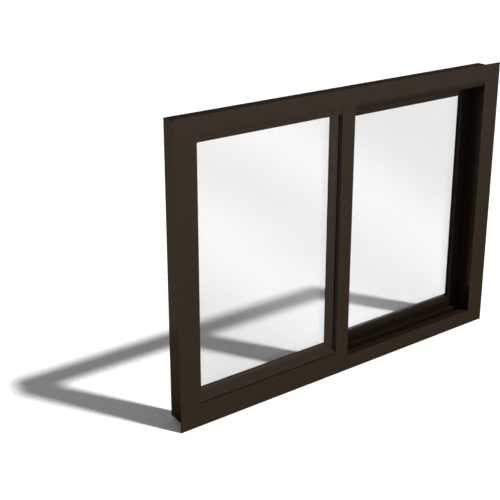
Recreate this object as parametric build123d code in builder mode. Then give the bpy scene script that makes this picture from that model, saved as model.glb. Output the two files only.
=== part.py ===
# Horizontal sliding window with a face flange, built as an assembly of separate pieces.
# Millimetres. X runs to the right seen from outside, Y runs back into the wall, Z runs up.
# The origin lies on the back face of the flange, in the middle of its bottom strip.
# In the sections, depth counts back from the front face and reach counts in from the flange edge.
import os
from build123d import *

os.makedirs("parts", exist_ok=True)

# Overall sizes
flange_width = 1234.9
flange_height = 930.1
flange_overhang = 14.2
flange_thickness = 3.0
flange_face = 51.0

# Frame section
wall = 3.0
land_depth = 24.0
rib_thickness = 12.0
rib_rise = 6.0
rib_wall = 2.5
leg_thickness = 3.0
leg_rise = 11.0
track_thickness = 2.4
track_drop = 13.0

# Mullion between the two lights, from the middle of the flange
mullion_left = -48.8
mullion_width = 47.8
mullion_wall = 2.5
mullion_web_thickness = 20.0
mullion_leg_thickness = 3.0
mullion_leg_width = 59.0

# Fillers round the fixed light, cover over the sliding light, and liner on the lock jamb
sill_filler_height = 22.5
head_filler_height = 22.3
head_filler_setback = 1.7
jamb_filler_width = 17.5
filler_wall = 2.5
cover_height = 18.8
cover_setback = 4.0
liner_width = 15.0
liner_nose_depth = 16.5
liner_wall = 2.5
liner_rib_height = 9.0
liner_leg_height = 15.0

# Insulating glass
pane_thickness = 3.0
glass_gap = 8.0
spacer_height = 7.0
spacer_inset = 3.0
tape_thickness = 1.0

# Fixed light
fixed_edge_cover = 20.0
fixed_bite = 12.8
bead_front = 9.0
bottom_bead_front = 3.0
right_bead_front = 14.0
bead_tip = 1.5
bead_flat_share = 0.15
bead_bevel_share = 0.2
bead_slope_share = 0.7
left_bead_width = 11.8
right_bead_width = 27.8
top_bead_width = 6.0
bottom_bead_width = 36.4
gasket_width = 2.5
gasket_thickness = 1.5
block_length = 80.0

# Sliding sash
sash_front_play = 2.0
sash_rear_play = 1.0
sash_end_play = 3.5
sash_drop = 1.0
sash_thickness = 22.0
sash_lock_width = 38.0
sash_meeting_width = 42.0
sash_bottom_width = 47.5
sash_top_width = 54.0
sash_wall = 2.5
sash_bite = 12.0
sash_glass_clearance = 0.5
sash_step_width = 7.0
sash_step_depth = 2.0

# Interlock between mullion and sash
hook_wall = 2.5
hook_clearance = 1.0
hook_lap = 12.0
hook_end_gap = 3.0
interlock_lap = 30.0
pile_width = 6.0
pile_from_edge = 4.0

# Rollers
wheel_radius = 9.0
wheel_width = 5.0
wheel_from_end = 110.0
axle_radius = 2.0
axle_end = 0.6
running_gap = 0.3
housing_length = 44.0
housing_width = 12.0
housing_below = 6.0
housing_above = 14.0

# Latch on the room side of the sash
latch_length = 62.0
latch_width = 20.0
latch_base = 1.6
latch_lever_length = 34.0
latch_lever_width = 11.0
latch_lever_height = 2.6

# Places that follow from the sizes above
half_w = flange_width / 2
half_h = flange_height / 2
mid_z = half_h - flange_overhang / 2
top_z = mid_z + half_h
bottom_z = mid_z - half_h
body_in = flange_overhang + wall
rib_reach = flange_face + rib_rise
leg_reach = flange_face + leg_rise
track_reach = flange_face - track_drop
sash_reach = flange_face - sash_drop
glass_unit = 2 * pane_thickness + glass_gap
fixed_glass_front = land_depth + tape_thickness
fixed_glass_reach = flange_face - fixed_edge_cover
rib_front = fixed_glass_front + glass_unit + tape_thickness
rib_back = rib_front + rib_thickness
sash_front = rib_back + sash_front_play
sash_back = sash_front + sash_thickness
leg_front = sash_back + sash_rear_play
window_depth = leg_front + leg_thickness
track_depth = sash_front + sash_thickness / 2
sash_glass_front = sash_front + (sash_thickness - glass_unit) / 2
mullion_right = mullion_left + mullion_width
sash_left = mullion_right - interlock_lap
sash_right = half_w - leg_reach - liner_wall - sash_end_play
sash_top = top_z - sash_reach
sash_bottom = bottom_z + sash_reach
rib_middle = (rib_front + rib_back) / 2 - flange_thickness
leg_middle = leg_front + leg_thickness / 2 - flange_thickness


def plate(depth_from, depth_to, reach_from, reach_to, mode=Mode.ADD):
    # one flat wall of a section that lies in a plane across the member
    middle = ((depth_from + depth_to) / 2 - flange_thickness, (reach_from + reach_to) / 2)
    with Locations(middle):
        Rectangle(depth_to - depth_from, reach_to - reach_from, mode=mode)


def section_point(depth, reach):
    return (depth - flange_thickness, reach)


def cove_radius(setback, height):
    # radius of an arc that is upright at one end and falls back by setback over its height
    return (setback**2 + height**2) / (2 * setback)


def member_plane(corner, inward):
    # sketch plane across a member: x is the depth, y runs inward, the normal runs along the member
    return Plane(origin=corner, x_dir=(0, 1, 0), z_dir=Vector(0, 1, 0).cross(Vector(*inward)))


def mitre_plane(corner, inward):
    # plane that shows a member from outside: x runs inward, y runs along the member
    return Plane(origin=corner, x_dir=inward, z_dir=(0, 1, 0))


def mitre_outline(length, reach, first, last):
    # keeps the part of a member inside the mitres with its neighbours, which are first and last wide
    Polygon(
        (reach, first),
        (reach, length - last),
        (reach - length, 2 * length - last),
        (reach - length, first - length),
        align=None,
    )


def ring_sides(left, right, bottom, top):
    # the four members of a rectangle: name, start corner, inward direction and length
    return [
        ("bottom", (left, 0, bottom), (0, 0, 1), right - left),
        ("top", (right, 0, top), (0, 0, -1), right - left),
        ("left", (left, 0, top), (1, 0, 0), top - bottom),
        ("right", (right, 0, bottom), (-1, 0, 0), top - bottom),
    ]


frame_names = {
    "bottom": "frame_sill",
    "top": "frame_head",
    "left": "frame_left_jamb",
    "right": "frame_lock_jamb",
}
sash_names = {
    "bottom": "sash_bottom_rail",
    "top": "sash_top_rail",
    "left": "sash_meeting_stile",
    "right": "sash_lock_stile",
}

# Outer frame: one extruded section with a flange, mitred at the corners
for side, corner, inward, length in ring_sides(-half_w, half_w, bottom_z, top_z):
    with BuildPart() as frame_member:
        with BuildSketch(member_plane(corner, inward)):
            plate(0, flange_thickness, 0, flange_face)
            plate(0, land_depth, flange_face - wall, flange_face)
            plate(land_depth - wall, land_depth, flange_overhang, flange_face)
            plate(0, window_depth, flange_overhang, body_in)
            plate(rib_front, rib_back, flange_overhang, rib_reach)
            plate(rib_front + rib_wall, rib_back - rib_wall, body_in, rib_reach - rib_wall, Mode.SUBTRACT)
            plate(track_depth - track_thickness / 2, track_depth + track_thickness / 2, body_in, track_reach)
            plate(leg_front, window_depth, flange_overhang, leg_reach)
        extrude(amount=length)
        with BuildSketch(mitre_plane(corner, inward)):
            mitre_outline(length, leg_reach, leg_reach, leg_reach)
        extrude(amount=window_depth, both=True, mode=Mode.INTERSECT)
    frame_member.part.label = frame_names[side]
    export_step(frame_member.part, f"parts/{frame_names[side]}.step")

# Mullion: front box, web behind the glass edge, rear leg and interlock hook
mullion_height = flange_height - 2 * flange_face
mullion_leg_back = rib_front + mullion_leg_thickness
hook_pocket = hook_clearance + hook_wall + hook_clearance
with BuildPart() as mullion:
    with BuildSketch(Plane((0, 0, bottom_z + flange_face), x_dir=(0, 1, 0), z_dir=(0, 0, -1))):
        plate(0, land_depth, mullion_left, mullion_right)
        plate(
            mullion_wall,
            land_depth - mullion_wall,
            mullion_left + mullion_wall,
            mullion_right - mullion_wall,
            Mode.SUBTRACT,
        )
        plate(land_depth, rib_front, mullion_right - mullion_web_thickness, mullion_right)
        plate(rib_front, mullion_leg_back, mullion_right - mullion_leg_width, mullion_right)
    extrude(amount=-mullion_height)
    hook_stop = max(rib_reach, sash_reach + sash_top_width - sash_meeting_width)
    hook_height = flange_height - 2 * hook_stop - 2 * hook_end_gap
    with BuildSketch(Plane((0, 0, mid_z - hook_height / 2), x_dir=(0, 1, 0), z_dir=(0, 0, -1))):
        plate(
            mullion_leg_back,
            mullion_leg_back + hook_pocket + hook_wall,
            sash_left + hook_wall + hook_lap,
            sash_left + 2 * hook_wall + hook_lap,
        )
        plate(
            mullion_leg_back + hook_pocket,
            mullion_leg_back + hook_pocket + hook_wall,
            sash_left + hook_wall + hook_clearance,
            sash_left + 2 * hook_wall + hook_lap,
        )
    extrude(amount=-hook_height)
    for end in (bottom_z + flange_face, top_z - rib_reach):
        with Locations((0, rib_middle, end + rib_rise / 2)):
            Box(4 * mullion_leg_width, rib_thickness, rib_rise, mode=Mode.SUBTRACT)
mullion.part.label = "mullion"
export_step(mullion.part, "parts/mullion.step")

# Fillers that narrow the fixed light: on the sill, under the head and on the left jamb
filler_left = -half_w + flange_face
filler_bottom = bottom_z + flange_face
filler_top = top_z - flange_face
bead_left = filler_left + jamb_filler_width
with BuildPart() as sill_filler:
    with BuildSketch(Plane((bead_left, 0, filler_bottom), x_dir=(0, 1, 0), z_dir=(1, 0, 0))):
        plate(0, land_depth, 0, sill_filler_height)
        inside = sill_filler_height - filler_wall
        plate(filler_wall, land_depth - filler_wall, filler_wall, inside, Mode.SUBTRACT)
    extrude(amount=mullion_left - bead_left)
sill_filler.part.label = "sill_filler"
export_step(sill_filler.part, "parts/sill_filler.step")

with BuildPart() as head_filler:
    cove = cove_radius(head_filler_setback, head_filler_height)
    half = head_filler_height / 2
    halfway = head_filler_setback - cove + (cove**2 - half**2) ** 0.5
    with BuildSketch(Plane((mullion_left, 0, filler_top), x_dir=(0, 1, 0), z_dir=(-1, 0, 0))):
        with BuildLine():
            ThreePointArc(
                section_point(0, 0),
                section_point(halfway, half),
                section_point(head_filler_setback, head_filler_height),
            )
            Polyline(
                section_point(head_filler_setback, head_filler_height),
                section_point(land_depth, head_filler_height),
                section_point(land_depth, 0),
                section_point(0, 0),
            )
        make_face()
        plate(
            head_filler_setback + filler_wall,
            land_depth - filler_wall,
            filler_wall,
            head_filler_height - filler_wall,
            Mode.SUBTRACT,
        )
    extrude(amount=mullion_left - bead_left)
head_filler.part.label = "head_filler"
export_step(head_filler.part, "parts/head_filler.step")

with BuildPart() as jamb_filler:
    with BuildSketch(Plane((filler_left, 0, filler_top), x_dir=(0, 1, 0), z_dir=(0, 0, -1))):
        plate(0, land_depth, 0, jamb_filler_width)
        inside = jamb_filler_width - filler_wall
        plate(filler_wall, land_depth - filler_wall, filler_wall, inside, Mode.SUBTRACT)
    extrude(amount=filler_top - filler_bottom)
jamb_filler.part.label = "left_jamb_filler"
export_step(jamb_filler.part, "parts/left_jamb_filler.step")

# Cover under the head of the sliding light, with a front that curves back as it comes down
with BuildPart() as head_cover:
    cover_right = half_w - flange_face - liner_width
    inside = cover_height - filler_wall
    cove = cove_radius(cover_setback, cover_height)
    half = cover_height / 2
    halfway = cove - (cove**2 - half**2) ** 0.5
    with BuildSketch(Plane((cover_right, 0, filler_top), x_dir=(0, 1, 0), z_dir=(-1, 0, 0))):
        with BuildLine():
            ThreePointArc(
                section_point(0, 0),
                section_point(halfway, half),
                section_point(cover_setback, cover_height),
            )
            Polyline(
                section_point(cover_setback, cover_height),
                section_point(land_depth, cover_height),
                section_point(land_depth, 0),
                section_point(0, 0),
            )
        make_face()
        plate(cover_setback + filler_wall, land_depth - filler_wall, filler_wall, inside, Mode.SUBTRACT)
    extrude(amount=cover_right - mullion_right)
head_cover.part.label = "head_cover"
export_step(head_cover.part, "parts/head_cover.step")

# Liner on the lock jamb: front nose, rear plate, rib and stop, coped round the head and the sill
with BuildPart() as jamb_liner:
    with BuildSketch(member_plane((half_w, 0, bottom_z + flange_face), (-1, 0, 0))):
        nose_reach = flange_face + liner_width
        plate(0, liner_nose_depth, flange_face, nose_reach)
        plate(liner_wall, liner_nose_depth - liner_wall, flange_face, nose_reach - liner_wall, Mode.SUBTRACT)
        plate(liner_nose_depth - liner_wall, window_depth, leg_reach, leg_reach + liner_wall)
        plate(rib_front, rib_back, rib_reach, leg_reach + liner_rib_height)
        plate(
            rib_front + liner_wall,
            rib_back - liner_wall,
            rib_reach,
            leg_reach + liner_rib_height - liner_wall,
            Mode.SUBTRACT,
        )
        plate(leg_front, window_depth, leg_reach, leg_reach + liner_leg_height)
    extrude(amount=mullion_height)
    for edge, sign in ((bottom_z, 1), (top_z, -1)):
        with Locations((half_w - flange_face, rib_middle, edge + sign * rib_reach / 2)):
            Box(8 * liner_width, rib_thickness, rib_reach, mode=Mode.SUBTRACT)
        with Locations((half_w - flange_face, leg_middle, edge + sign * leg_reach / 2)):
            Box(8 * liner_width, leg_thickness, leg_reach, mode=Mode.SUBTRACT)
jamb_liner.part.label = "lock_jamb_liner"
export_step(jamb_liner.part, "parts/lock_jamb_liner.step")


# Glazing beads round the fixed light, each with a face that falls back towards the glass
def bead_section(front, width):
    edge = fixed_glass_front - bead_tip
    bevel_start = front + (edge - front) * bead_slope_share
    Polygon(
        section_point(front, 0),
        section_point(front, width * bead_flat_share),
        section_point(bevel_start, width * (1 - bead_bevel_share)),
        section_point(edge, width),
        section_point(fixed_glass_front, width),
        section_point(fixed_glass_front, 0),
        align=None,
    )


neighbours = {
    "bottom": ("left", "right"),
    "top": ("right", "left"),
    "left": ("top", "bottom"),
    "right": ("bottom", "top"),
}
bead_widths = {
    "bottom": bottom_bead_width,
    "top": top_bead_width,
    "left": left_bead_width,
    "right": right_bead_width,
}
bead_fronts = {
    "bottom": bottom_bead_front,
    "top": bead_front,
    "left": bead_front,
    "right": right_bead_front,
}
bead_bottom = filler_bottom + sill_filler_height
bead_top = filler_top - head_filler_height
for side, corner, inward, length in ring_sides(bead_left, mullion_left, bead_bottom, bead_top):
    first, last = neighbours[side]
    with BuildPart() as bead:
        with BuildSketch(member_plane(corner, inward)):
            bead_section(bead_fronts[side], bead_widths[side])
        extrude(amount=length)
        with BuildSketch(mitre_plane(corner, inward)):
            mitre_outline(length, bead_widths[side], bead_widths[first], bead_widths[last])
        extrude(amount=window_depth, both=True, mode=Mode.INTERSECT)
    bead.part.label = f"glazing_bead_{side}"
    export_step(bead.part, f"parts/glazing_bead_{side}.step")


def gasket(name, left, right, bottom, top, front):
    # a rubber strip that runs round the edge of a light, in front of the glass
    with BuildPart() as ring:
        middle = ((left + right) / 2, front - gasket_thickness / 2 - flange_thickness, (bottom + top) / 2)
        with Locations(middle):
            Box(right - left, gasket_thickness, top - bottom)
            Box(
                right - left - 2 * gasket_width,
                2 * gasket_thickness,
                top - bottom - 2 * gasket_width,
                mode=Mode.SUBTRACT,
            )
    ring.part.label = name
    export_step(ring.part, f"parts/{name}.step")


gasket(
    "fixed_glass_gasket",
    bead_left + left_bead_width,
    mullion_left - right_bead_width,
    bead_bottom + bottom_bead_width,
    bead_top - top_bead_width,
    fixed_glass_front,
)


def glass_box(name, left, right, bottom, top, front, thickness):
    with BuildPart() as pane:
        with Locations(((left + right) / 2, front + thickness / 2 - flange_thickness, (bottom + top) / 2)):
            Box(right - left, thickness, top - bottom)
    pane.part.label = name
    export_step(pane.part, f"parts/{name}.step")


def glass_unit_pieces(name, left, right, bottom, top, front):
    # two panes with four spacer bars between them
    gap_front = front + pane_thickness
    glass_box(f"{name}_outer_pane", left, right, bottom, top, front, pane_thickness)
    glass_box(f"{name}_inner_pane", left, right, bottom, top, gap_front + glass_gap, pane_thickness)
    low = bottom + spacer_inset
    high = top - spacer_inset
    near = left + spacer_inset
    far = right - spacer_inset
    glass_box(f"{name}_spacer_bottom", near, far, low, low + spacer_height, gap_front, glass_gap)
    glass_box(f"{name}_spacer_top", near, far, high - spacer_height, high, gap_front, glass_gap)
    between = (low + spacer_height, high - spacer_height)
    glass_box(f"{name}_spacer_left", near, near + spacer_height, *between, gap_front, glass_gap)
    glass_box(f"{name}_spacer_right", far - spacer_height, far, *between, gap_front, glass_gap)


fixed_left = -half_w + fixed_glass_reach
fixed_right = mullion_left + fixed_bite
fixed_bottom = bottom_z + fixed_glass_reach
fixed_top = top_z - fixed_glass_reach
glass_unit_pieces("fixed_glass", fixed_left, fixed_right, fixed_bottom, fixed_top, fixed_glass_front)

# Setting blocks that carry the fixed glass on the sill
for name, place in (("left", 0.25), ("right", 0.75)):
    with BuildPart() as block:
        middle_x = fixed_left + (fixed_right - fixed_left) * place
        middle_z = (bottom_z + body_in + fixed_bottom) / 2
        with Locations((middle_x, fixed_glass_front + glass_unit / 2 - flange_thickness, middle_z)):
            Box(block_length, glass_unit, fixed_bottom - bottom_z - body_in)
    block.part.label = f"setting_block_{name}"
    export_step(block.part, f"parts/setting_block_{name}.step")

# Sliding sash: one kind of section on four sides, with a glazing pocket and a stepped front lip
sash_widths = {
    "bottom": sash_bottom_width,
    "top": sash_top_width,
    "left": sash_meeting_width,
    "right": sash_lock_width,
}
sash_sides = ring_sides(sash_left, sash_right, sash_bottom, sash_top)
wheel_z = bottom_z + track_reach + running_gap + wheel_radius
wheel_places = (sash_left + wheel_from_end, sash_right - wheel_from_end)
for side, corner, inward, length in sash_sides:
    width = sash_widths[side]
    first, last = neighbours[side]
    with BuildPart() as sash_piece:
        with BuildSketch(member_plane(corner, inward)):
            plate(sash_front, sash_back, 0, width)
            pocket = width - sash_bite - sash_glass_clearance
            plate(sash_front + sash_wall, sash_back - sash_wall, sash_wall, pocket - sash_wall, Mode.SUBTRACT)
            plate(sash_glass_front, sash_glass_front + glass_unit, pocket, width, Mode.SUBTRACT)
            step_from = width - sash_step_width
            plate(sash_front, sash_front + sash_step_depth, step_from, width, Mode.SUBTRACT)
        extrude(amount=length)
        with BuildSketch(mitre_plane(corner, inward)):
            mitre_outline(length, width, sash_widths[first], sash_widths[last])
        extrude(amount=window_depth, both=True, mode=Mode.INTERSECT)
        if side == "left":
            hook_front = mullion_leg_back + hook_clearance
            with BuildSketch(Plane((0, 0, mid_z - hook_height / 2), x_dir=(0, 1, 0), z_dir=(0, 0, -1))):
                plate(hook_front, sash_front + sash_wall, sash_left, sash_left + hook_wall)
                plate(hook_front, hook_front + hook_wall, sash_left, sash_left + hook_lap)
            extrude(amount=-hook_height)
        if side == "bottom":
            for place in wheel_places:
                with Locations((place, track_depth - flange_thickness, sash_bottom)):
                    Box(
                        housing_length + 2 * running_gap,
                        housing_width + 2 * running_gap,
                        4 * sash_wall,
                        mode=Mode.SUBTRACT,
                    )
    sash_piece.part.label = sash_names[side]
    export_step(sash_piece.part, f"parts/{sash_names[side]}.step")

light_left = sash_left + sash_meeting_width
light_right = sash_right - sash_lock_width
light_bottom = sash_bottom + sash_bottom_width
light_top = sash_top - sash_top_width
glass_unit_pieces(
    "sash_glass",
    light_left - sash_bite,
    light_right + sash_bite,
    light_bottom - sash_bite,
    light_top + sash_bite,
    sash_glass_front,
)
gasket("sash_glass_gasket", light_left, light_right, light_bottom, light_top, sash_glass_front)

# Rollers under the sash
for name, place in zip(("left", "right"), wheel_places):
    with BuildPart() as housing:
        low = sash_bottom - housing_below
        high = sash_bottom + housing_above
        with Locations((place, track_depth - flange_thickness, (low + high) / 2)):
            Box(housing_length, housing_width, high - low)
        with Locations((place, track_depth - flange_thickness, wheel_z)):
            slot = 2 * (wheel_radius + 2 * running_gap)
            Box(slot, wheel_width + 2 * running_gap, slot, mode=Mode.SUBTRACT)
            Cylinder(axle_radius + running_gap, 2 * housing_width, rotation=(90, 0, 0), mode=Mode.SUBTRACT)
    housing.part.label = f"roller_housing_{name}"
    export_step(housing.part, f"parts/roller_housing_{name}.step")
    with BuildPart() as wheel:
        with Locations((place, track_depth - flange_thickness, wheel_z)):
            Cylinder(wheel_radius, wheel_width, rotation=(90, 0, 0))
            Cylinder(axle_radius, housing_width - 2 * axle_end, rotation=(90, 0, 0))
    wheel.part.label = f"roller_wheel_{name}"
    export_step(wheel.part, f"parts/roller_wheel_{name}.step")

# Pile strip between the mullion and the sash
with BuildPart() as pile:
    with BuildSketch(Plane((0, 0, mid_z - hook_height / 2), x_dir=(0, 1, 0), z_dir=(0, 0, -1))):
        pile_right = mullion_right - pile_from_edge
        plate(mullion_leg_back, sash_front, pile_right - pile_width, pile_right)
    extrude(amount=-hook_height)
pile.part.label = "interlock_pile"
export_step(pile.part, "parts/interlock_pile.step")

# Latch on the room side of the meeting stile
with BuildPart() as latch:
    latch_x = sash_left + sash_meeting_width / 2
    latch_y = sash_back - flange_thickness
    with BuildSketch(Plane((latch_x, latch_y, mid_z), x_dir=(1, 0, 0), z_dir=(0, 1, 0))):
        SlotOverall(latch_length, latch_width, rotation=90)
    extrude(amount=latch_base)
    with BuildSketch(Plane((latch_x, latch_y + latch_base, mid_z), x_dir=(1, 0, 0), z_dir=(0, 1, 0))):
        SlotOverall(latch_lever_length, latch_lever_width, rotation=90)
    extrude(amount=latch_lever_height)
latch.part.label = "sash_latch"
export_step(latch.part, "parts/sash_latch.step")
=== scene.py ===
import math

import bpy
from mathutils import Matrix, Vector


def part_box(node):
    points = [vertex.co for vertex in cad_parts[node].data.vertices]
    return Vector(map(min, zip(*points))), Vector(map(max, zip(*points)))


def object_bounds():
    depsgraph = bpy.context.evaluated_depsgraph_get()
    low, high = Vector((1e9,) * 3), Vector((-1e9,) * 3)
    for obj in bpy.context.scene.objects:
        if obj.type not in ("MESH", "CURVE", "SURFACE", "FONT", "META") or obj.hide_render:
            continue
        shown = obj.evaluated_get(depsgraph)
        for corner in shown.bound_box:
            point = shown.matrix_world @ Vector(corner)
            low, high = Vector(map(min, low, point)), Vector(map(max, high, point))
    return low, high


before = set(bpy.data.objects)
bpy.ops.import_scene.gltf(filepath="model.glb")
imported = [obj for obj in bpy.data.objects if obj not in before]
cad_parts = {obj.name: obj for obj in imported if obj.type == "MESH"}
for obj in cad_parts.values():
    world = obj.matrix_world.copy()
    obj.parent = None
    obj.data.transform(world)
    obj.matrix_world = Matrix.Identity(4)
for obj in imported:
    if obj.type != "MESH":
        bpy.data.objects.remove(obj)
cad_low, cad_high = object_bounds()

# The camera stands left of the window and looks right, back and down at it.
# Its lens and sensor are in millimetres.
CAMERA_PLACE = (-1.7953, -2.0458, 1.5760)
CAMERA_TURN = math.radians(34.734)
CAMERA_TILT = math.radians(17.350)
CAMERA_LENS = 68.40
CAMERA_SENSOR = 36.0
CAMERA_SHIFT = -0.20

# The sun stands high, right and in front of the window, and the sky adds even light
TOWARDS_SUN = (0.320, -0.481, 0.94)
SUN_ANGLE = math.radians(3.5)
SUN_STRENGTH = 3.6
SKY_STRENGTH = 0.225

# The floor looks white, but throws only this share of the light back
FLOOR_SIZE = 60.0
FLOOR_LIGHT = 0.4

# Metal mirrors a sky that darkens towards the horizon: (height of the ray's direction, level)
HORIZON_STOPS = ((0.0, 0.35), (0.3, 0.4), (0.65, 0.85))
# Towards the back it fades to this share, which holds where the direction's Y is BEHIND_FULLY or more
SKY_BEHIND = 0.3
BEHIND_FULLY = 0.4

# Metal mirrors a ground that is warm at the wall and lighter and cooler away from it: (place in Y, colour)
GROUND_STOPS = (
    (-3.6, (0.78, 0.90, 1.0)),
    (-2.0, (0.79, 0.85, 0.95)),
    (-1.0, (0.665, 0.69, 0.70)),
    (-0.2, (0.575, 0.575, 0.56)),
    (0.05, (0.56, 0.56, 0.545)),
    (0.22, (0.50, 0.52, 0.54)),
    (2.0, (0.50, 0.54, 0.58)),
)
# Behind the wall the ground also has some light of its own, so that the window's shadow is weak there
GLOW_STOPS = ((0.05, 0.0), (0.22, 0.5))
# Both rows of stops lie within this distance in front of the wall and behind it
GROUND_REACH = 4.0
# Through the window's own glass, metal mirrors only a dim ground
GROUND_THROUGH_GLASS = 0.18

# Glass mirrors an even ground with two soft strips, which lie on cones about an axis: (cosine, level)
STRIP_CENTRE = (-1.80, 2.09, 1.58)
STRIP_AXIS = (-0.405, -0.294, -0.866)
STRIP_STOPS = ((0.17, 0.0), (0.241, 1.0), (0.301, 0.37), (0.361, 1.0), (0.44, 0.0))
STRIP_LIGHT = 0.4
GLASS_GROUND = 0.271
# Its sky is as light as its ground, and the plain sky as light as the sunlit floor, so no horizon shows
GLASS_SKY = 0.325
PLAIN_SKY = 1.2

# Lit and shaded copies of the bronze: the beads are painted lighter, as painted light, and the head cover
# and sash top rail darker, as painted shade
BRONZE = (0.0465, 0.0327, 0.0214)
BEAD_BRONZE_PAINTED_LIGHT = (0.055, 0.0406, 0.0287)
COVER_BRONZE_PAINTED_SHADE = (0.037, 0.0268, 0.0186)
# At low angles, bronze mirrors only this share of what bare metal would
LOW_ANGLE_SHARE = 0.5

# Painted light on the mullion's left side: in the groove beside the bead it is painted lighter, dull and
# greyish, and this fades out over the side's edge
GROOVE_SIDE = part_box("glazing_bead_right")[1].x
GROOVE_EDGE = 0.0003
PAINTED_LIGHT_COLOUR = (0.085, 0.074, 0.062)
PAINTED_LIGHT_ROUGHNESS = 0.7

# Each glass face keeps back this share of light and mirrors this part of it
GLASS_ALPHA = 0.12
GLASS_MIRROR = 0.75

# The places of a mix node's first input, second input and result, for numbers and for colours
MIX_SOCKETS = {"FLOAT": (2, 3, 0), "RGBA": (6, 7, 2)}


def add_object(name, data):
    thing = bpy.data.objects.new(name, data)
    bpy.context.collection.objects.link(thing)
    return thing


def aim(thing, direction):
    # cameras and lamps look down their own -Z
    thing.rotation_mode = "QUATERNION"
    thing.rotation_quaternion = direction.to_track_quat("-Z", "Y")


def make_camera():
    data = bpy.data.cameras.new("camera")
    data.lens = CAMERA_LENS
    data.sensor_width = CAMERA_SENSOR
    data.shift_y = CAMERA_SHIFT
    camera = add_object("camera", data)
    camera.location = CAMERA_PLACE
    right = math.sin(CAMERA_TURN) * math.cos(CAMERA_TILT)
    back = math.cos(CAMERA_TURN) * math.cos(CAMERA_TILT)
    down = math.sin(CAMERA_TILT)
    aim(camera, Vector((right, back, -down)))
    bpy.context.scene.camera = camera


def make_sun():
    data = bpy.data.lights.new("sun", "SUN")
    data.energy = SUN_STRENGTH
    data.angle = SUN_ANGLE
    sun = add_object("sun", data)
    sun.visible_glossy = False
    aim(sun, -Vector(TOWARDS_SUN))


def grey(level):
    return (level, level, level)


def greys(stops):
    return [(place, grey(level)) for place, level in stops]


def coordinate(tree, vector, axis):
    parts = tree.nodes.new("ShaderNodeSeparateXYZ")
    tree.links.new(vector, parts.inputs[0])
    return parts.outputs[axis]


def vector_math(tree, operation, first, second=(0, 0, 0)):
    node = tree.nodes.new("ShaderNodeVectorMath")
    node.operation = operation
    node.inputs[1].default_value = second
    tree.links.new(first, node.inputs[0])
    return node


def scaled(tree, value, factor, added):
    node = tree.nodes.new("ShaderNodeMath")
    node.operation = "MULTIPLY_ADD"
    node.inputs[1].default_value = factor
    node.inputs[2].default_value = added
    tree.links.new(value, node.inputs[0])
    return node.outputs[0]


def map_range(tree, value, old=(0, 1), new=(0, 1)):
    # turns the old range into the new one, and holds the value at its ends
    node = tree.nodes.new("ShaderNodeMapRange")
    node.inputs["From Min"].default_value = old[0]
    node.inputs["From Max"].default_value = old[1]
    node.inputs["To Min"].default_value = new[0]
    node.inputs["To Max"].default_value = new[1]
    tree.links.new(value, node.inputs["Value"])
    return node.outputs[0]


def ramp(tree, value, stops, smooth=True):
    node = tree.nodes.new("ShaderNodeValToRGB")
    node.color_ramp.interpolation = "EASE" if smooth else "LINEAR"
    elements = node.color_ramp.elements
    while len(elements) < len(stops):
        elements.new(0.5)
    for element, (place, colour) in zip(elements, stops):
        element.position = place
        element.color = (*colour, 1)
    tree.links.new(value, node.inputs["Fac"])
    return node.outputs["Color"]


def mix(tree, kind, share):
    node = tree.nodes.new("ShaderNodeMix")
    node.data_type = kind
    tree.links.new(share, node.inputs[0])
    first, second, result = MIX_SOCKETS[kind]
    return node.inputs[first], node.inputs[second], node.outputs[result]


def by_ray(tree, shade, looks):
    # puts each look in for its own kind of ray, the later ones on top
    path = tree.nodes.new("ShaderNodeLightPath")
    for ray, look in looks:
        swap = tree.nodes.new("ShaderNodeMixShader")
        tree.links.new(path.outputs[ray], swap.inputs[0])
        tree.links.new(shade, swap.inputs[1])
        tree.links.new(look, swap.inputs[2])
        shade = swap.outputs[0]
    return shade


def studio_looks(tree, light, in_metal, in_glass, seen):
    # one look for the light that the sky or the floor gives, and others in metal, in glass and to the eye
    looks = (
        ("Is Glossy Ray", in_metal),
        ("Is Singular Ray", in_glass),
        ("Is Transmission Ray", seen),
        ("Is Camera Ray", seen),
    )
    return by_ray(tree, light, looks)


def sky(tree, level):
    node = tree.nodes.new("ShaderNodeBackground")
    node.inputs["Color"].default_value = (1, 1, 1, 1)
    node.inputs["Strength"].default_value = level
    return node.outputs[0]


def sky_in_metal(tree):
    direction = tree.nodes.new("ShaderNodeTexCoord").outputs["Generated"]
    levels = ramp(tree, coordinate(tree, direction, "Z"), greys(HORIZON_STOPS))
    share = map_range(tree, coordinate(tree, direction, "Y"), (0, BEHIND_FULLY), (1, SKY_BEHIND))
    node = tree.nodes.new("ShaderNodeBackground")
    tree.links.new(levels, node.inputs["Color"])
    tree.links.new(share, node.inputs["Strength"])
    return node.outputs[0]


def make_world():
    world = bpy.data.worlds.new("studio")
    world.use_nodes = True
    tree = world.node_tree
    tree.nodes.clear()
    shade = studio_looks(
        tree,
        light=sky(tree, SKY_STRENGTH),
        in_metal=sky_in_metal(tree),
        in_glass=sky(tree, GLASS_SKY),
        seen=sky(tree, PLAIN_SKY),
    )
    out = tree.nodes.new("ShaderNodeOutputWorld")
    tree.links.new(shade, out.inputs[0])
    bpy.context.scene.world = world


def matt(tree, level=1.0, colour=None):
    # a dull surface of one grey level, or of the colour that a socket gives
    node = tree.nodes.new("ShaderNodeBsdfDiffuse")
    node.inputs["Color"].default_value = (*grey(level), 1)
    if colour is not None:
        tree.links.new(colour, node.inputs["Color"])
    return node.outputs[0]


def position(tree):
    return tree.nodes.new("ShaderNodeNewGeometry").outputs["Position"]


def along_y(tree, stops):
    # a ramp over the place in Y, from GROUND_REACH in front of the wall to as far behind it
    middle = 0.5
    factor = middle / GROUND_REACH
    share = scaled(tree, coordinate(tree, position(tree), "Y"), factor, middle)
    shares = [(middle + factor * y, colour) for y, colour in stops]
    return ramp(tree, share, shares, smooth=False)


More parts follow.
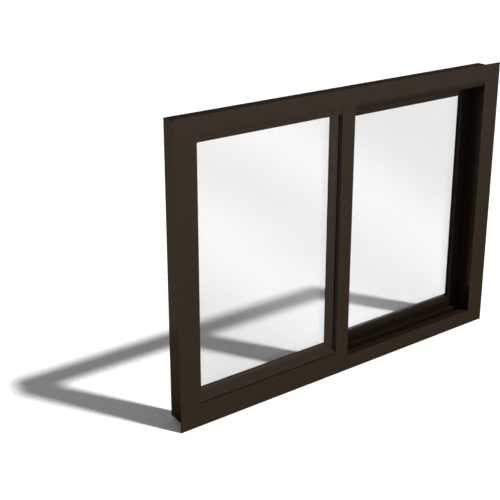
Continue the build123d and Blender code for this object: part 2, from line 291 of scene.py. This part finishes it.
def ground_in_metal(tree):
    glow = tree.nodes.new("ShaderNodeEmission")
    both = tree.nodes.new("ShaderNodeAddShader")
    tree.links.new(along_y(tree, greys(GLOW_STOPS)), glow.inputs["Color"])
    tree.links.new(matt(tree, colour=along_y(tree, GROUND_STOPS)), both.inputs[0])
    tree.links.new(glow.outputs[0], both.inputs[1])
    # the depth counts the glass faces on the ray's way, and any count above 0 swaps the look fully
    return by_ray(tree, both.outputs[0], [("Transparent Depth", matt(tree, GROUND_THROUGH_GLASS))])


def ground_in_glass(tree):
    # the cosine is that of the angle between the strips' axis and the way from their centre
    away = vector_math(tree, "SUBTRACT", position(tree), STRIP_CENTRE)
    unit = vector_math(tree, "NORMALIZE", away.outputs["Vector"])
    cosine = vector_math(tree, "DOT_PRODUCT", unit.outputs["Vector"], STRIP_AXIS)
    strips = ramp(tree, cosine.outputs["Value"], greys(STRIP_STOPS))
    return matt(tree, colour=scaled(tree, strips, STRIP_LIGHT, GLASS_GROUND))


def make_floor():
    half = FLOOR_SIZE / 2
    corners = [(x * half, y * half, cad_low.z) for x, y in ((-1, -1), (1, -1), (1, 1), (-1, 1))]
    mesh = bpy.data.meshes.new("floor")
    mesh.from_pydata(corners, [], [(0, 1, 2, 3)])
    material = bpy.data.materials.new("floor")
    material.use_nodes = True
    tree = material.node_tree
    tree.nodes.clear()
    shade = studio_looks(
        tree,
        light=matt(tree, FLOOR_LIGHT),
        in_metal=ground_in_metal(tree),
        in_glass=ground_in_glass(tree),
        seen=matt(tree),
    )
    out = tree.nodes.new("ShaderNodeOutputMaterial")
    tree.links.new(shade, out.inputs[0])
    mesh.materials.append(material)
    add_object("floor", mesh)


def new_material(name, metallic, roughness):
    material = bpy.data.materials.new(name)
    material.use_nodes = True
    shader = material.node_tree.nodes["Principled BSDF"]
    shader.inputs["Metallic"].default_value = metallic
    shader.inputs["Roughness"].default_value = roughness
    return material, material.node_tree, shader


def new_bronze(name, metallic, roughness):
    material, tree, shader = new_material(name, metallic, roughness)
    shader.inputs["Specular Tint"].default_value = (*grey(LOW_ANGLE_SHARE), 1)
    return material, tree, shader


def grain(tree, scale, detail=4.0, stretch=(1, 1, 1)):
    # cloudy noise in the object's own metres, from 0 to 1
    place = tree.nodes.new("ShaderNodeTexCoord")
    sized = tree.nodes.new("ShaderNodeMapping")
    sized.inputs["Scale"].default_value = stretch
    noise = tree.nodes.new("ShaderNodeTexNoise")
    noise.inputs["Scale"].default_value = scale
    noise.inputs["Detail"].default_value = detail
    tree.links.new(place.outputs["Object"], sized.inputs["Vector"])
    tree.links.new(sized.outputs[0], noise.inputs["Vector"])
    return noise.outputs["Fac"]


def vary_colour(tree, shader, share, colour, spread):
    darker, lighter, mixed = mix(tree, "RGBA", share)
    darker.default_value = (*[tone * (1 - spread) for tone in colour], 1)
    lighter.default_value = (*[tone * (1 + spread) for tone in colour], 1)
    tree.links.new(mixed, shader.inputs["Base Color"])


def vary_roughness(tree, shader, share, low, high):
    tree.links.new(map_range(tree, share, new=(low, high)), shader.inputs["Roughness"])


def add_bump(tree, shader, share, depth):
    bump = tree.nodes.new("ShaderNodeBump")
    bump.inputs["Strength"].default_value = 1.0
    bump.inputs["Distance"].default_value = depth
    tree.links.new(share, bump.inputs["Height"])
    tree.links.new(bump.outputs[0], shader.inputs["Normal"])


def bronze_coating(name, colour):
    # satin dark bronze on aluminium, slightly cloudy
    material, tree, shader = new_bronze(name, metallic=0.75, roughness=0.2)
    shader.inputs["Specular IOR Level"].default_value = 0.0
    vary_colour(tree, shader, grain(tree, scale=30.0), colour, spread=0.05)
    vary_roughness(tree, shader, grain(tree, scale=12.0), low=0.185, high=0.215)
    return material


def bronze_with_painted_light():
    # the mullion's coating, with painted light down its left side: there it is painted lighter, dull and
    # greyish
    material = bronze_coating("mullion_coating_painted_light", BRONZE)
    tree = material.node_tree
    shader = tree.nodes["Principled BSDF"]
    place = tree.nodes.new("ShaderNodeTexCoord").outputs["Object"]
    # share is 1 where the painted light goes, on the mullion's left side, and falls to 0 over GROOVE_EDGE
    share = map_range(tree, coordinate(tree, place, "X"), old=(GROOVE_SIDE + GROOVE_EDGE, GROOVE_SIDE))
    finish_with_painted_light = (("RGBA", "Base Color", (*PAINTED_LIGHT_COLOUR, 1)), ("FLOAT", "Roughness", PAINTED_LIGHT_ROUGHNESS))
    for kind, name, painted_light_value in finish_with_painted_light:
        first, second, mixed = mix(tree, kind, share)
        second.default_value = painted_light_value
        tree.links.new(shader.inputs[name].links[0].from_socket, first)
        tree.links.new(mixed, shader.inputs[name])
    return material


def cast_bronze():
    # the same colour on the cast latch, with a fine grain
    material, tree, shader = new_bronze("cast_bronze", metallic=0.6, roughness=0.3)
    vary_colour(tree, shader, grain(tree, scale=90.0), BRONZE, spread=0.12)
    add_bump(tree, shader, grain(tree, scale=900.0), depth=0.00002)
    return material


def spacer_metal():
    # rolled bronze-coloured strip between the panes
    material, tree, shader = new_bronze("spacer_metal", metallic=0.75, roughness=0.25)
    vary_colour(tree, shader, grain(tree, scale=60.0), BRONZE, spread=0.1)
    vary_roughness(tree, shader, grain(tree, scale=200.0), low=0.2, high=0.3)
    return material


def rubber():
    material, tree, shader = new_material("black_rubber", metallic=0.0, roughness=0.6)
    shader.inputs["Specular IOR Level"].default_value = 0.2
    vary_colour(tree, shader, grain(tree, scale=80.0), grey(0.01), spread=0.25)
    vary_roughness(tree, shader, grain(tree, scale=150.0), low=0.52, high=0.68)
    return material


def pile_fibre():
    # upright fibres across the strip, as fine streaks
    material, tree, shader = new_material("pile_fibre", metallic=0.0, roughness=0.95)
    shader.inputs["Specular IOR Level"].default_value = 0.1
    streaks = grain(tree, scale=700.0, detail=2.0, stretch=(0.15, 0.15, 1))
    vary_colour(tree, shader, streaks, grey(0.012), spread=0.7)
    add_bump(tree, shader, streaks, depth=0.0005)
    return material


def moulded_nylon():
    material, tree, shader = new_material("moulded_nylon", metallic=0.0, roughness=0.45)
    vary_colour(tree, shader, grain(tree, scale=120.0), grey(0.012), spread=0.3)
    add_bump(tree, shader, grain(tree, scale=1200.0), depth=0.00002)
    return material


def plated_steel():
    material, tree, shader = new_material("plated_steel", metallic=0.9, roughness=0.4)
    vary_colour(tree, shader, grain(tree, scale=150.0), (0.28, 0.28, 0.26), spread=0.15)
    vary_roughness(tree, shader, grain(tree, scale=60.0), low=0.32, high=0.48)
    return material


def clear_glass():
    # nearly clear, very slightly cloudy, and without a shadow of its own
    material, tree, shader = new_material("clear_glass", metallic=1.0, roughness=0.0)
    shader.inputs["Alpha"].default_value = GLASS_ALPHA
    vary_colour(tree, shader, grain(tree, scale=4.0), grey(GLASS_MIRROR), spread=0.01)
    open_air = tree.nodes.new("ShaderNodeBsdfTransparent")
    shade = by_ray(tree, shader.outputs[0], [("Is Shadow Ray", open_air.outputs[0])])
    tree.links.new(shade, tree.nodes["Material Output"].inputs[0])
    return material


def dress_nodes():
    # the first word found in a node's name gives its finish
    coating = bronze_coating("bronze_coating", BRONZE)
    # a darker copy of the bronze, painted shade, for the head cover and the sash top rail
    cover_coating_painted_shade = bronze_coating("cover_coating_painted_shade", COVER_BRONZE_PAINTED_SHADE)
    black_rubber = rubber()
    finishes = (
        ("pane", clear_glass()),
        ("gasket", black_rubber),
        ("block", black_rubber),
        ("spacer", spacer_metal()),
        ("pile", pile_fibre()),
        ("wheel", moulded_nylon()),
        ("housing", plated_steel()),
        ("latch", cast_bronze()),
        # painted light: a lighter copy of the bronze on the beads
        ("bead", bronze_coating("bead_coating_painted_light", BEAD_BRONZE_PAINTED_LIGHT)),
        # painted shade on the head cover and the sash top rail
        ("head_cover", cover_coating_painted_shade),
        ("sash_top_rail", cover_coating_painted_shade),
        # painted light down the mullion's left side
        ("mullion", bronze_with_painted_light()),
    )
    for name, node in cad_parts.items():
        finish = next((material for word, material in finishes if word in name), coating)
        for slot in node.material_slots:
            slot.material = finish


make_camera()
make_world()
make_floor()
make_sun()
dress_nodes()

bpy.context.scene.view_settings.view_transform = "Standard"
